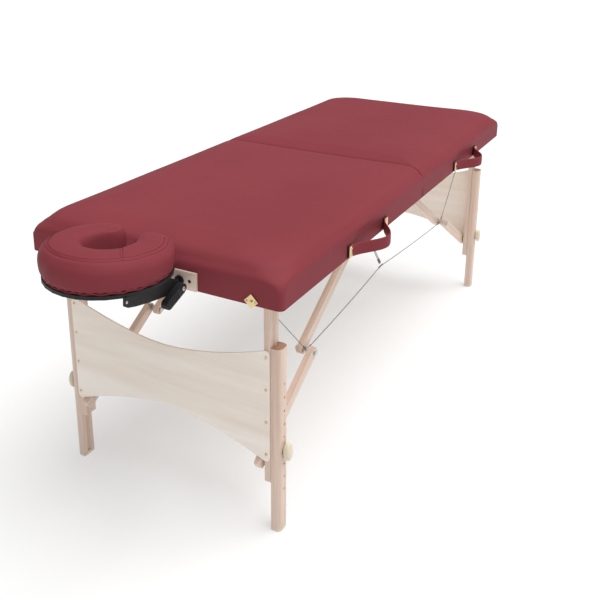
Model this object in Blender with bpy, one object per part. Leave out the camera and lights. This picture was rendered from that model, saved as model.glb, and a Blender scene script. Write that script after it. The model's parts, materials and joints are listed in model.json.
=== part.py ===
"""Portable massage table that folds in half, with a face cradle on its near end.

Metres, +Z up. +X runs from the head end (the face cradle) to the foot end, and the origin
is the centre of the bounding box's base, on the floor.

Most pieces are drawn in one half's own coordinates:
    u  distance inwards from that half's end
    v  distance outwards from the long centre line
    w  height above the underside of the rails
and place() carries them to either half and either side.
"""

import math

import bmesh
import bpy
from mathutils import Vector

# ---- driving sizes of the table ------------------------------------------------------
HALF = 0.927  # length of one half
HALF_WIDTH = 0.381
UNDERSIDE = 0.665  # height of the rails' underside above the floor
RAIL_HEIGHT = 0.048
RAIL_THICK = 0.0155
COVER = 0.003  # padding and vinyl wrapped over the rails' outer faces
DECK_THICK = 0.0047
SIDE_HEIGHT = 0.110  # underside of the rails to the top of the padding
CUSHION_RADIUS = 0.040  # rolled top edge of the padding
CORNER_RADIUS = 0.021  # upright corners at the table's ends
GAP = 0.0003  # between pieces that touch
FOLD_GAP = 0.0003  # from the fold line to each half

# ---- centre hinge --------------------------------------------------------------------
BARREL_DROP = 0.001  # hinge axis below the underside
BARREL_RADIUS = 0.004
BARREL_CLEAR = 0.0008
BARREL_HALF_LENGTH = 0.355

# ---- legs ----------------------------------------------------------------------------
LEG_HINGE = (0.0825, 0.027)  # u, w
LEG_DEPTH = 0.040  # along u
LEG_RADIUS = LEG_DEPTH / 2
LEG_EDGE = 0.013  # radius of a lower leg's outer edges
UPPER_LEG = (0.2964, 0.3140)  # v of its inner and outer faces
LOWER_LEG = (0.3148, 0.3420)
UPPER_LEG_BOTTOM = -0.520
LOWER_LEG_TOP = -0.138
FOOT_HEIGHT = 0.009
TONGUE_RADIUS = 0.0060
GROOVE_RADIUS = 0.0068
TONGUE_V = 0.3130  # centre of the upper leg's rounded tongue
TONGUE_TOP = -0.002
PANEL_THICK = 0.0047
PANEL_HALF = 0.3130
PANEL_CORNER = 0.012
PANEL_TOP, PANEL_TOP_MIDDLE = -0.146, -0.211
PANEL_BOTTOM, PANEL_BOTTOM_MIDDLE = -0.458, -0.388
PANEL_CURVE = 1.7  # how sharply the panel's long edges turn towards its corners
KNOB_W = -0.427
KNOB_SIZE = (0.030, 0.0185, 0.052)
PIN_RADIUS = 0.0040
HOLE_RADIUS = 0.0045
SPACER_RADIUS = 0.0085  # on the lower link's pin, against the leg

# ---- folding braces ------------------------------------------------------------------
BRACE_PIVOT = (0.877, 0.027)  # u, w of the upper link's pin
LEG_PIVOT = (0.0825, -0.458)  # u, w of the lower link's pin
UPPER_LINK = (0.2390, 0.2570)  # v of its faces
LOWER_LINK = (0.2730, 0.2908)
LINK_WIDTH = 0.028
LINK_TAIL = 0.034  # lower link past its leg pin

# ---- stay cables ---------------------------------------------------------------------
CABLE_RADIUS = 0.0015
CABLE_V = 0.2650
CABLE_ANCHOR_U = 0.062  # where the rail cable meets its cleat
CLEAT_W, CLEAT_HALF = 0.006, 0.012
CABLE_START = 0.0125  # from the elbow bolt's centre to a cable's end
CABLE_MIDDLE = (0.247, -0.268)  # v, w where the long cable hangs from the centre cable
CENTRE_CABLE_TOP = (0.110, -0.007)  # v, w
CENTRE_CABLE_U = HALF + 0.004  # just past the fold line

# ---- face cradle ---------------------------------------------------------------------
POST_V, POST_W, POST_RADIUS = 0.105, 0.022, 0.0060
POST_INSIDE, POST_OUTSIDE = 0.062, -0.030
TILT_AXIS = (-0.040, 0.022)  # u, w
RING_CENTRE = -0.128  # u
RING_OUTER, RING_INNER = 0.157, 0.052
RING_TAPER = 0.0055  # the arms' ends are narrower by this on either side
RING_END_ANGLE = math.radians(42)  # the arms' ends, from the way to the table
RING_BOTTOM, RING_TOP = 0.078, 0.155  # w
PLATFORM_THICK = 0.009
PLATFORM_INSET = 0.006  # from the padding's edge
CROSS_BAR = 0.016  # square
KNUCKLE = (0.095, 0.115)  # v of its faces
KNUCKLE_SIZE = 0.024  # square
CHEEK = (0.1156, 0.1236)
CHEEK_FRONT = {-1: -0.222, 1: -0.188}  # u on each side; the left cheek is shorter
LEVER = (0.1242, 0.1412)
PADDLE_TIP, PADDLE_WIDTH = (-0.093, 0.0025), 0.024  # the lever's far end, u and w

# ---- handles, latches ----------------------------------------------------------------
HANDLE_U = (0.352, 0.606)
HANDLE_BULGE = 0.060
HANDLE_W = (0.004, 0.034)
HANDLE_THICK = 0.004
LATCH_V = 0.301
CATCH_W, CATCH_HALF = 0.0105, 0.0185
HOOK_W, HOOK_HALF_WIDTH = 0.031, 0.0065
HOOK_U = (-0.0065, -0.0035)
HOOK_TIP = 0.009  # past the middle of its slot
SLOT_HALF, SLOT_DEEP = 0.0042, 0.0035
STUD_RADIUS, STUD_U = 0.0030, (-0.0070, -0.0020)
OUTLET_HALF = 0.1525
OUTLET_W = (0.001, 0.0475)
OUTLET_THICK = 0.006

# the bounding box's centre lies between the cradle's front and the latches' faces
LATCH_REACH = 0.0075
CENTRE_X = (RING_OUTER - RING_CENTRE - LATCH_REACH) / 2
CENTRE_Y = (GAP + HANDLE_BULGE + HANDLE_THICK) / 2

NEAR, FAR = -1, 1
SIDES = (("left", 1), ("right", -1))
ENDS = (("near", NEAR), ("far", FAR))


def clear_scene():
    for old in list(bpy.data.objects):
        bpy.data.objects.remove(old, do_unlink=True)


def make_material(name, colour, roughness, metallic=0.0):
    material = bpy.data.materials.new(name)
    material.use_nodes = True
    shader = material.node_tree.nodes["Principled BSDF"]
    shader.inputs["Base Color"].default_value = (*colour, 1.0)
    shader.inputs["Roughness"].default_value = roughness
    shader.inputs["Metallic"].default_value = metallic
    return material


def place(end, side, u, v, w):
    """A half's own u, v, w as table coordinates."""
    return Vector((end * (HALF - u), side * v, UNDERSIDE + w))


# ---- shapes --------------------------------------------------------------------------
def prism(outline, axis, low, high):
    """A flat outline swept along an axis: its points are in the other two axes' order."""
    shape = bmesh.new()
    rings = []
    for level in (low, high):
        ring = []
        for a, b in outline:
            at = {"u": (level, a, b), "v": (a, level, b), "w": (a, b, level)}[axis]
            ring.append(shape.verts.new(at))
        rings.append(ring)
    shape.faces.new(rings[0])
    shape.faces.new(rings[1])
    count = len(outline)
    for i in range(count):
        j = (i + 1) % count
        shape.faces.new((rings[0][i], rings[0][j], rings[1][j], rings[1][i]))
    return shape


def box(low, high):
    corners = [(low[0], low[1]), (high[0], low[1]), (high[0], high[1]), (low[0], high[1])]
    return prism(corners, "w", low[2], high[2])


def circle(centre, radius, sides, start=0.0, turn=2 * math.pi):
    """Points round a circle, or along an arc when turn is less than a full turn."""
    whole = abs(turn - 2 * math.pi) < 1e-9
    steps = sides if whole else sides - 1
    return [
        (
            centre[0] + radius * math.cos(start + turn * i / steps),
            centre[1] + radius * math.sin(start + turn * i / steps),
        )
        for i in range(sides)
    ]


def rod(axis, centre, radius, low, high, sides=12):
    return prism(circle(centre, radius, sides, math.pi / sides), axis, low, high)


def half_outline(inset, radius):
    """One half seen from above, its sides drawn in by inset, round at its two outer corners."""
    v = HALF_WIDTH - inset
    fold = HALF - FOLD_GAP
    quarter = math.pi / 2
    centre = inset + radius
    return (
        [(fold, -v), (fold, v)]
        + circle((centre, v - radius), radius, 5, quarter, quarter)
        + circle((centre, radius - v), radius, 5, 2 * quarter, quarter)
    )


def link_outline(start, finish, width, square_tail=0.0, sides=7):
    """A bar round two pins in the u, w plane, round at each end or square past the finish."""
    along = math.atan2(finish[1] - start[1], finish[0] - start[0])
    points = circle(start, width / 2, sides, along + math.pi / 2, math.pi)
    if not square_tail:
        return points + circle(finish, width / 2, sides, along - math.pi / 2, math.pi)
    ahead = Vector((math.cos(along), math.sin(along)))
    across = Vector((-ahead.y, ahead.x)) * width / 2
    tip = Vector(finish) + ahead * square_tail
    chamfer = ahead * 0.005
    inward = across * 0.3
    return points + [
        tuple(tip - across - chamfer),
        tuple(tip - across + inward),
        tuple(tip + across - inward),
        tuple(tip + across - chamfer),
    ]


# ---- objects -------------------------------------------------------------------------
class Table:
    """Makes the objects, all under one empty at the table's centre."""

    def __init__(self):
        self.centre = bpy.data.objects.new("table_centre", None)
        bpy.context.scene.collection.objects.link(self.centre)
        self.centre.location = (CENTRE_X, CENTRE_Y, 0)

    def add(self, name, shape, material, end=FAR, side=1, pivot=None, smooth=False):
        """An object from a shape drawn in u, v, w, with its origin on its pivot."""
        for vert in shape.verts:
            vert.co = place(end, side, *vert.co)
        origin = place(end, side, *pivot) if pivot else Vector((0, 0, 0))
        for vert in shape.verts:
            vert.co -= origin
        bmesh.ops.recalc_face_normals(shape, faces=shape.faces)
        mesh = bpy.data.meshes.new(name)
        shape.to_mesh(mesh)
        shape.free()
        if smooth:
            mesh.shade_smooth()
            mesh.set_sharp_from_angle(angle=math.radians(35))
        made = bpy.data.objects.new(name, mesh)
        bpy.context.scene.collection.objects.link(made)
        made.location = origin
        made.parent = self.centre
        if material:
            mesh.materials.append(material)
        return made

    def combine(self, target, operation, shape, end, side):
        """Cut a shape from the target, or join it on."""
        tool = self.add(f"{target.name}_{operation.lower()}", shape, None, end, side)
        tool.hide_render = True
        tool.display_type = "WIRE"
        step = target.modifiers.new(operation.title(), "BOOLEAN")
        step.operation = operation
        step.object = tool


def bevel(target, width, segments, angle=30, clamp=True):
    step = target.modifiers.new("Bevel", "BEVEL")
    step.width = width
    step.segments = segments
    step.limit_method = "ANGLE"
    step.angle_limit = math.radians(angle)
    step.use_clamp_overlap = clamp


def build_frame(table, end_name, end, wood, ply):
    """Four rails, with the blocks and pins that the legs and braces turn on, and the
    cleats that the cables are fixed under."""
    inside = HALF_WIDTH - COVER - RAIL_THICK
    outline = half_outline(COVER, CORNER_RADIUS - COVER)
    frame = table.add(f"{end_name}_frame", prism(outline, "w", 0, RAIL_HEIGHT), wood, end)
    first, last = COVER + RAIL_THICK, HALF - FOLD_GAP - RAIL_THICK
    cavity = box((first, -inside, -0.01), (last, inside, RAIL_HEIGHT + 0.01))
    table.combine(frame, "DIFFERENCE", cavity, end, 1)
    for _, side in SIDES:
        u, w = LEG_HINGE
        block = box(
            (u - 0.017, LOWER_LEG[0] + 0.0015, 0.006),
            (u + 0.017, inside + 0.002, RAIL_HEIGHT - 0.001),
        )
        table.combine(frame, "UNION", block, end, side)
        pin = rod("v", (u, w), PIN_RADIUS, UPPER_LEG[0] - 0.002, LOWER_LEG[0] + 0.004)
        table.combine(frame, "UNION", pin, end, side)
        u, w = BRACE_PIVOT
        block = box(
            (u - 0.015, UPPER_LINK[1] + 0.0006, 0.006),
            (last + 0.002, 0.289, RAIL_HEIGHT - 0.001),
        )
        table.combine(frame, "UNION", block, end, side)
        pin = rod("v", (u, w), PIN_RADIUS, UPPER_LINK[0] - 0.002, UPPER_LINK[1] + 0.003)
        table.combine(frame, "UNION", pin, end, side)
        cleat = box(
            (first - 0.002, CABLE_V - CLEAT_HALF, CLEAT_W),
            (CABLE_ANCHOR_U + CLEAT_HALF, CABLE_V + CLEAT_HALF, RAIL_HEIGHT - 0.001),
        )
        table.combine(frame, "UNION", cleat, end, side)
        if end == NEAR:
            hole = rod("u", (POST_V, POST_W), POST_RADIUS + GAP, -0.01, first + 0.01)
            table.combine(frame, "DIFFERENCE", hole, end, side)
    groove = rod(
        "v", (HALF, -BARREL_DROP), BARREL_RADIUS + BARREL_CLEAR, -HALF_WIDTH, HALF_WIDTH, 16
    )
    table.combine(frame, "DIFFERENCE", groove, end, 1)
    low = RAIL_HEIGHT + GAP
    table.add(f"{end_name}_deck", prism(outline, "w", low, low + DECK_THICK), ply, end)


def build_cushion(table, end_name, end, vinyl):
    """Padding on the deck, rolled over at the outer edges and square at the fold."""
    bottom = RAIL_HEIGHT + DECK_THICK + 2 * GAP
    steps = 6
    shape = bmesh.new()
    rings = []
    for i in range(steps + 2):
        if i == 0:
            inset, level = 0.0, bottom
        else:
            angle = math.radians(90) * (i - 1) / steps
            inset = CUSHION_RADIUS * (1 - math.cos(angle))
            level = SIDE_HEIGHT - CUSHION_RADIUS * (1 - math.sin(angle))
        outline = half_outline(inset, CORNER_RADIUS + inset / 2)
        rings.append([shape.verts.new((a, b, level)) for a, b in outline])
    count = len(rings[0])
    for low, high in zip(rings, rings[1:]):
        for i in range(count):
            j = (i + 1) % count
            shape.faces.new((low[i], low[j], high[j], high[i]))
    shape.faces.new(rings[0])
    shape.faces.new(rings[-1])
    table.add(f"{end_name}_cushion", shape, vinyl, end, smooth=True)


def build_barrel(table, brass):
    barrel = rod(
        "v",
        (HALF, -BARREL_DROP),
        BARREL_RADIUS,
        -BARREL_HALF_LENGTH,
        BARREL_HALF_LENGTH,
        16,
    )
    pivot = (HALF, 0, -BARREL_DROP)
    table.add("centre_hinge_barrel", barrel, brass, NEAR, pivot=pivot, smooth=True)


def upper_leg_section(top):
    """Rounded top end and square foot of an upper leg, seen from the side."""
    u, w = LEG_HINGE
    crown = circle((u, w), LEG_RADIUS, 11, 0.0, math.pi)
    return crown + [(u - LEG_RADIUS, top), (u + LEG_RADIUS, top)]


def build_legs(table, end_name, end, wood, ply, rubber, plastic):
    """Two telescopic legs joined by an end panel, with their feet and knobs."""
    hinge = (LEG_HINGE[0], 0, LEG_HINGE[1])
    u = LEG_HINGE[0]
    for side_name, side in SIDES:
        name = f"{end_name}_{side_name}"
        body = prism(upper_leg_section(UPPER_LEG_BOTTOM), "v", *UPPER_LEG)
        leg = table.add(f"{name}_upper_leg", body, wood, end, side, hinge)
        tongue = rod("w", (u, TONGUE_V), TONGUE_RADIUS, UPPER_LEG_BOTTOM, TONGUE_TOP)
        table.combine(leg, "UNION", tongue, end, side)
        low, high = UPPER_LEG[0] - 0.01, LOWER_LEG[1]
        eye = rod("v", LEG_HINGE, HOLE_RADIUS, low, high)
        table.combine(leg, "DIFFERENCE", eye, end, side)
        pin_end = LOWER_LINK[0] - 0.004
        pin = rod("v", LEG_PIVOT, PIN_RADIUS, pin_end, UPPER_LEG[0] + 0.004)
        table.combine(leg, "UNION", pin, end, side)
        ends = (LOWER_LINK[1] + GAP, UPPER_LEG[0] + 0.001)
        spacer = rod("v", LEG_PIVOT, SPACER_RADIUS, *ends)
        table.combine(leg, "UNION", spacer, end, side)

        slide = (u, (LOWER_LEG[0] + LOWER_LEG[1]) / 2, KNOB_W)
        bottom = FOOT_HEIGHT + GAP - UNDERSIDE
        half = LEG_DEPTH / 2
        inner, outer = LOWER_LEG
        edge = (u + half - LEG_EDGE, outer - LEG_EDGE)
        side_arc = circle(edge, LEG_EDGE, 5, 0.0, math.pi / 2)
        mirror_arc = [(2 * u - a, b) for a, b in reversed(side_arc)]
        lip = math.asin((inner - TONGUE_V) / GROOVE_RADIUS)
        groove = circle((u, TONGUE_V), GROOVE_RADIUS, 7, math.pi - lip, 2 * lip - math.pi)
        outline = [(u + half, inner)] + side_arc + mirror_arc + [(u - half, inner)] + groove
        lower = prism(outline, "w", bottom, LOWER_LEG_TOP)
        table.add(f"{name}_lower_leg", lower, wood, end, side, slide)

        foot_outline = [(u + half, inner)] + side_arc + mirror_arc + [(u - half, inner)]
        foot = prism(foot_outline, "w", -UNDERSIDE, FOOT_HEIGHT - UNDERSIDE)
        table.add(f"{name}_foot", foot, rubber, end, side, slide)

        wide, deep, tall = KNOB_SIZE
        face = outer + 2 * GAP
        oval = [
            (u + wide / 2 * math.cos(t * math.pi / 8), KNOB_W + tall / 2 * math.sin(t * math.pi / 8))
            for t in range(16)
        ]
        knob = prism(oval, "v", face, face + deep)
        made = table.add(f"{name}_knob", knob, plastic, end, side, (u, face, KNOB_W))
        bevel(made, 0.004, 2)

    face = u - LEG_RADIUS - GAP
    panel = prism(panel_outline(), "u", face - PANEL_THICK, face)
    table.add(f"{end_name}_end_panel", panel, ply, end, 1, hinge)


def panel_outline():
    """The panel between two legs: both long edges curve up in the middle."""
    steps = 12
    reach = PANEL_HALF - PANEL_CORNER
    top, bottom = [], []
    for i in range(steps + 1):
        v = reach * (2 * i / steps - 1)
        share = abs(v / reach) ** PANEL_CURVE
        top.append((v, PANEL_TOP_MIDDLE + (PANEL_TOP - PANEL_TOP_MIDDLE) * share))
        bottom.append((-v, PANEL_BOTTOM_MIDDLE + (PANEL_BOTTOM - PANEL_BOTTOM_MIDDLE) * share))
    quarter = math.pi / 2
    upper = circle((reach, PANEL_TOP - PANEL_CORNER), PANEL_CORNER, 4, quarter, -quarter)
    lower = circle((reach, PANEL_BOTTOM + PANEL_CORNER), PANEL_CORNER, 4, 0.0, -quarter)
    side = upper[1:] + lower[:-1]
    return top + side + bottom + [(-v, w) for v, w in reversed(side)]


def elbow_point():
    """Where the two links of a brace meet: the brace is straight both open and folded."""
    run = BRACE_PIVOT[0] - LEG_PIVOT[0]
    drop = BRACE_PIVOT[1] - LEG_PIVOT[1]
    reach = math.hypot(run, drop)
    upper_length = (reach + run - drop) / 2
    share = upper_length / reach
    return (BRACE_PIVOT[0] - run * share, BRACE_PIVOT[1] - drop * share)


def build_braces(table, end_name, end, wood, steel):
    """An upper and a lower link on each side, and the bolt at their elbow."""
    elbow = elbow_point()
    for side_name, side in SIDES:
        name = f"{end_name}_{side_name}"
        pivot = (BRACE_PIVOT[0], UPPER_LINK[0], BRACE_PIVOT[1])
        shape = prism(link_outline(elbow, BRACE_PIVOT, LINK_WIDTH), "v", *UPPER_LINK)
        upper = table.add(f"{name}_upper_link", shape, wood, end, side, pivot)
        for centre in (BRACE_PIVOT, elbow):
            eye = rod("v", centre, HOLE_RADIUS, UPPER_LINK[0] - 0.01, UPPER_LINK[1] + 0.01)
            table.combine(upper, "DIFFERENCE", eye, end, side)
        pivot = (LEG_PIVOT[0], LOWER_LINK[0], LEG_PIVOT[1])
        shape = prism(
            link_outline(elbow, LEG_PIVOT, LINK_WIDTH, LINK_TAIL), "v", *LOWER_LINK
        )
        lower = table.add(f"{name}_lower_link", shape, wood, end, side, pivot)
        eye = rod("v", LEG_PIVOT, HOLE_RADIUS, LOWER_LINK[0] - 0.01, LOWER_LINK[1] + 0.01)
        table.combine(lower, "DIFFERENCE", eye, end, side)

        profile = [
            (0.0075, UPPER_LINK[0] - 0.0055),
            (0.0075, UPPER_LINK[0] - GAP),
            (PIN_RADIUS, UPPER_LINK[0] - GAP),
            (PIN_RADIUS, UPPER_LINK[1] + GAP),
            (0.0080, UPPER_LINK[1] + GAP),
            (0.0080, LOWER_LINK[0] - 2 * GAP),
        ]
        bolt = turned(profile, elbow, 12)
        pivot = (BRACE_PIVOT[0], UPPER_LINK[0], BRACE_PIVOT[1])
        table.add(f"{name}_elbow_bolt", bolt, steel, end, side, pivot)


def turned(profile, centre, sides):
    """A solid of revolution about a line along v: profile points are (radius, v)."""
    shape = bmesh.new()
    rings = []
    for radius, v in profile:
        points = circle(centre, radius, sides, math.pi / sides)
        rings.append([shape.verts.new((a, v, b)) for a, b in points])
    for low, high in zip(rings, rings[1:]):
        for i in range(sides):
            j = (i + 1) % sides
            shape.faces.new((low[i], low[j], high[j], high[i]))
    shape.faces.new(rings[0])
    shape.faces.new(rings[-1])
    return shape


def build_cable(table, name, points, end, side, steel):
    """A thin steel cable along a list of u, v, w points."""
    curve = bpy.data.curves.new(name, "CURVE")
    curve.dimensions = "3D"
    curve.bevel_depth = CABLE_RADIUS
    curve.bevel_resolution = 2
    curve.use_fill_caps = True
    spline = curve.splines.new("POLY")
    spline.points.add(len(points) - 1)
    for target, point in zip(spline.points, points):
        target.co = (*place(end, side, *point), 1)
    made = bpy.data.objects.new(name, curve)
    bpy.context.scene.collection.objects.link(made)
    made.parent = table.centre
    curve.materials.append(steel)


def build_cables(table, steel):
    """Two stays from each elbow, and a short cable on each side that lifts the long ones."""
    elbow_u, elbow_w = elbow_point()
    middle_v, middle_w = CABLE_MIDDLE
    for end_name, end in ENDS:
        for side_name, side in SIDES:
            name = f"{end_name}_{side_name}"
            rail = Vector((CABLE_ANCHOR_U, CABLE_V, CLEAT_W - 0.0018))
            elbow = Vector((elbow_u, CABLE_V, elbow_w))
            start = elbow + (rail - elbow).normalized() * CABLE_START
            build_cable(table, f"{name}_rail_cable", [start, rail], end, side, steel)
            middle = Vector((HALF - 0.0008, middle_v, middle_w))
            start = elbow + (middle - elbow).normalized() * CABLE_START
            build_cable(table, f"{name}_stay_cable", [start, middle], end, side, steel)
    for side_name, side in SIDES:
        low = Vector((CENTRE_CABLE_U, middle_v - 0.004, middle_w + 0.006))
        high = Vector((CENTRE_CABLE_U, *CENTRE_CABLE_TOP))
        build_cable(table, f"centre_{side_name}_cable", [low, high], NEAR, side, steel)


def build_handle(table, end_name, end, vinyl):
    """A strap bowed out from the side rail on the right-hand side."""
    middle = (HANDLE_U[0] + HANDLE_U[1]) / 2
    half = (HANDLE_U[1] - HANDLE_U[0]) / 2
    root = HALF_WIDTH + GAP
    steps = 14
    outer, inner = [], []
    for i in range(steps + 1):
        across = -1 + 2 * i / steps
        bulge = (math.cos(math.pi * across) + 1) / 2
        slope = -math.pi * math.sin(math.pi * across) / 2 * HANDLE_BULGE / half
        length = math.hypot(1, slope)
        u = middle + across * half
        v = root + bulge * HANDLE_BULGE
        inner.append((u, v))
        outer.append((u - slope / length * HANDLE_THICK, v + HANDLE_THICK / length))
    strap = prism(inner + outer[::-1], "w", *HANDLE_W)
    table.add(f"{end_name}_handle", strap, vinyl, end, -1, smooth=True)


def build_end_hardware(table, wood, brass):
    """Outlet plate and catch plates on the head end, latch hooks on the foot end."""
    plate = box((-OUTLET_THICK, -OUTLET_HALF, OUTLET_W[0]), (-GAP, OUTLET_HALF, OUTLET_W[1]))
    outlet = table.add("outlet_plate", plate, wood, NEAR)
    for _, side in SIDES:
        hole = rod("u", (POST_V, POST_W), POST_RADIUS + GAP, -0.02, 0.01)
        table.combine(outlet, "DIFFERENCE", hole, NEAR, side)
    reach = HOOK_W + CATCH_W + 2 * BARREL_DROP
    for side_name, side in SIDES:
        diamond = [
            (LATCH_V - CATCH_HALF, CATCH_W),
            (LATCH_V, CATCH_W - CATCH_HALF),
            (LATCH_V + CATCH_HALF, CATCH_W),
            (LATCH_V, CATCH_W + CATCH_HALF),
        ]
        plate = prism(diamond, "u", -0.0030, -GAP)
        catch = table.add(f"catch_plate_{side_name}", plate, brass, NEAR, side)
        stud = rod("u", (LATCH_V, CATCH_W), STUD_RADIUS, *STUD_U, 8)
        table.combine(catch, "UNION", stud, NEAR, side)

        wide = HOOK_HALF_WIDTH
        tip = LATCH_V - reach
        outline = circle((LATCH_V, HOOK_W), wide, 7, -math.pi / 2, math.pi) + [
            (tip - HOOK_TIP, HOOK_W + wide),
            (tip - HOOK_TIP, HOOK_W - wide),
            (tip - SLOT_HALF, HOOK_W - wide),
            (tip - SLOT_HALF, HOOK_W + SLOT_DEEP),
            (tip + SLOT_HALF, HOOK_W + SLOT_DEEP),
            (tip + SLOT_HALF, HOOK_W - wide),
        ]
        hook = prism(outline, "u", *HOOK_U)
        pivot = (0, LATCH_V, HOOK_W)
        latch = table.add(f"latch_hook_{side_name}", hook, brass, FAR, side, pivot)
        hub = rod("u", (LATCH_V, HOOK_W), 0.0040, -LATCH_REACH, -GAP, 10)
        table.combine(latch, "UNION", hub, FAR, side)


def crescent(inset=0.0, steps=23):
    """A ring open towards the table, its arms tapered and rounded, in the u, v plane."""
    middle = (RING_OUTER + RING_INNER) / 2
    full = (RING_OUTER - RING_INNER) / 2 - inset
    start = RING_END_ANGLE
    sweep = 2 * (math.pi - start)
    outside, inside = [], []
    for i in range(steps):
        across = 2 * i / (steps - 1) - 1
        half = full - RING_TAPER * across**4
        way = start + sweep * i / (steps - 1)
        for points, radius in ((outside, middle + half), (inside, middle - half)):
            points.append((RING_CENTRE + radius * math.cos(way), radius * math.sin(way)))
    tip = full - RING_TAPER
    last = start + sweep
    ends = []
    for way, turned_by in ((last, last), (start, start + math.pi)):
        centre = (RING_CENTRE + middle * math.cos(way), middle * math.sin(way))
        ends.append(circle(centre, tip, 8, turned_by, math.pi)[1:-1])
    return outside + ends[0] + inside[::-1] + ends[1]


def build_cradle(table, vinyl, plastic, steel):
    """Posts in the outlet, a tilting platform with its cushion, and the cam lever."""
    pivot_u, pivot_w = TILT_AXIS
    tilt = (pivot_u, 0, pivot_w)
    half, reach = CROSS_BAR / 2, KNUCKLE[0] + 0.0005
    low, high = (pivot_u + 0.002 - half, -reach), (pivot_u + 0.002 + half, reach)
    bar = box((*low, pivot_w - half), (*high, pivot_w + half))
    arm = table.add("cradle_arm", bar, steel, NEAR)
    for _, side in SIDES:
        half = KNUCKLE_SIZE / 2
        low = (pivot_u - half, KNUCKLE[0], pivot_w - half)
        knuckle = box(low, (pivot_u + half, KNUCKLE[1], pivot_w + half))
        table.combine(arm, "UNION", knuckle, NEAR, side)
        post = rod("u", (POST_V, POST_W), POST_RADIUS, POST_OUTSIDE - 0.004, POST_INSIDE)
        table.combine(arm, "UNION", post, NEAR, side)
        pin_end = (LEVER[1] if side < 0 else CHEEK[1]) + 2 * GAP
        pin = rod("v", TILT_AXIS, PIN_RADIUS, KNUCKLE[1] - 0.003, pin_end)
        table.combine(arm, "UNION", pin, NEAR, side)

    low = RING_BOTTOM - GAP - PLATFORM_THICK
    platform = prism(crescent(PLATFORM_INSET), "w", low, RING_BOTTOM - GAP)
    plate = table.add("cradle_platform", platform, plastic, NEAR, 1, tilt)
    for _, side in SIDES:
        front = CHEEK_FRONT[side]
        side_view = [
            (front, 0.0500),
            (front + 0.006, 0.0450),
            (front + 0.032, 0.0370),
            (-0.145, 0.0270),
            (-0.0988, 0.0190),
            (pivot_u, pivot_w - 0.012),
            (pivot_u + 0.009, pivot_w - 0.007),
            (pivot_u + 0.012, pivot_w),
            (pivot_u + 0.010, pivot_w + 0.008),
            (-0.090, low + 0.002),
            (front + 0.001, low + 0.002),
        ]
        cheek = prism(side_view, "v", *CHEEK)
        table.combine(plate, "UNION", cheek, NEAR, side)
        eye = rod("v", TILT_AXIS, HOLE_RADIUS, CHEEK[0] - 0.01, CHEEK[1] + 0.01)
        table.combine(plate, "DIFFERENCE", eye, NEAR, side)

    cushion = prism(crescent(), "w", RING_BOTTOM, RING_TOP)
    made = table.add("cradle_cushion", cushion, vinyl, NEAR, 1, tilt, smooth=True)
    bevel(made, 0.016, 3, angle=60)

    paddle = link_outline(PADDLE_TIP, TILT_AXIS, PADDLE_WIDTH)
    made = table.add("cradle_cam_lever", prism(paddle, "v", *LEVER), plastic, NEAR, -1, tilt)
    eye = rod("v", TILT_AXIS, HOLE_RADIUS, LEVER[0] - 0.01, LEVER[1] + 0.01)
    table.combine(made, "DIFFERENCE", eye, NEAR, -1)


def main():
    clear_scene()
    maple = make_material("maple", (0.72, 0.55, 0.42), 0.5)
    birch = make_material("birch_ply", (0.74, 0.66, 0.54), 0.5)
    vinyl = make_material("vinyl", (0.29, 0.06, 0.075), 0.42)
    brass = make_material("brass", (0.72, 0.55, 0.30), 0.3, 1.0)
    steel = make_material("steel", (0.55, 0.55, 0.56), 0.35, 1.0)
    black = make_material("black_plastic", (0.02, 0.02, 0.022), 0.5)
    cream = make_material("cream_plastic", (0.72, 0.66, 0.52), 0.5)
    rubber = make_material("foot_rubber", (0.72, 0.64, 0.52), 0.8)

    table = Table()
    for end_name, end in ENDS:
        build_frame(table, end_name, end, maple, birch)
        build_cushion(table, end_name, end, vinyl)
        build_legs(table, end_name, end, maple, birch, rubber, cream)
        build_braces(table, end_name, end, maple, steel)
        build_handle(table, end_name, end, vinyl)
    build_barrel(table, brass)
    build_cables(table, steel)
    build_end_hardware(table, maple, brass)
    build_cradle(table, vinyl, black, black)


main()
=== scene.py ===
"""Looks of a portable massage table: vinyl covers, a sewn face cradle, beech and birch, brass
and steel. Each half of the table is drawn in its own u, v, w, as in the part's source:
    u  distance inwards from that half's end
    v  distance outwards from the long centre line
    w  height above the underside of the rails
"""

import json
import math

import bmesh
import bpy
from mathutils import Matrix, Vector, noise
from mathutils.bvhtree import BVHTree


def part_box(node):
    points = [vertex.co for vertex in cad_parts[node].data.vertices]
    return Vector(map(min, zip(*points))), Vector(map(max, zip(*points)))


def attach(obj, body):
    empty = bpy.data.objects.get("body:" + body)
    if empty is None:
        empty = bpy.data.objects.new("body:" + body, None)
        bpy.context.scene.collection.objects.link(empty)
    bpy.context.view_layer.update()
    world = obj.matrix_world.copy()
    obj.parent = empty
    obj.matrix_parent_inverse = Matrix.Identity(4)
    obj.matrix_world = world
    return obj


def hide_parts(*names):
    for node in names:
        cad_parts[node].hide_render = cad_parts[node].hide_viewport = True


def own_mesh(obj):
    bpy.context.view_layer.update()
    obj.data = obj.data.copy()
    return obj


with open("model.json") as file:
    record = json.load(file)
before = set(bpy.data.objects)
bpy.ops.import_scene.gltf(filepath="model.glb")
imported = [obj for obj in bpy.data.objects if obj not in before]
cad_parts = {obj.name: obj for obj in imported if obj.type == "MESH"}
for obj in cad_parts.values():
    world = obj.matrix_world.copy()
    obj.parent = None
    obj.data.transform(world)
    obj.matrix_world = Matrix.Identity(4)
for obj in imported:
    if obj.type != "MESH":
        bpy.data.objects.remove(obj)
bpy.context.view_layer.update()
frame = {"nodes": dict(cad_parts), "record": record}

# ---- places taken from the frame -----------------------------------------------------
deck_low, deck_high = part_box("near_deck")
far_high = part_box("far_deck")[1]
CENTRE = Vector(((deck_low.x + far_high.x) / 2, (deck_low.y + deck_high.y) / 2, 0))
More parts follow.
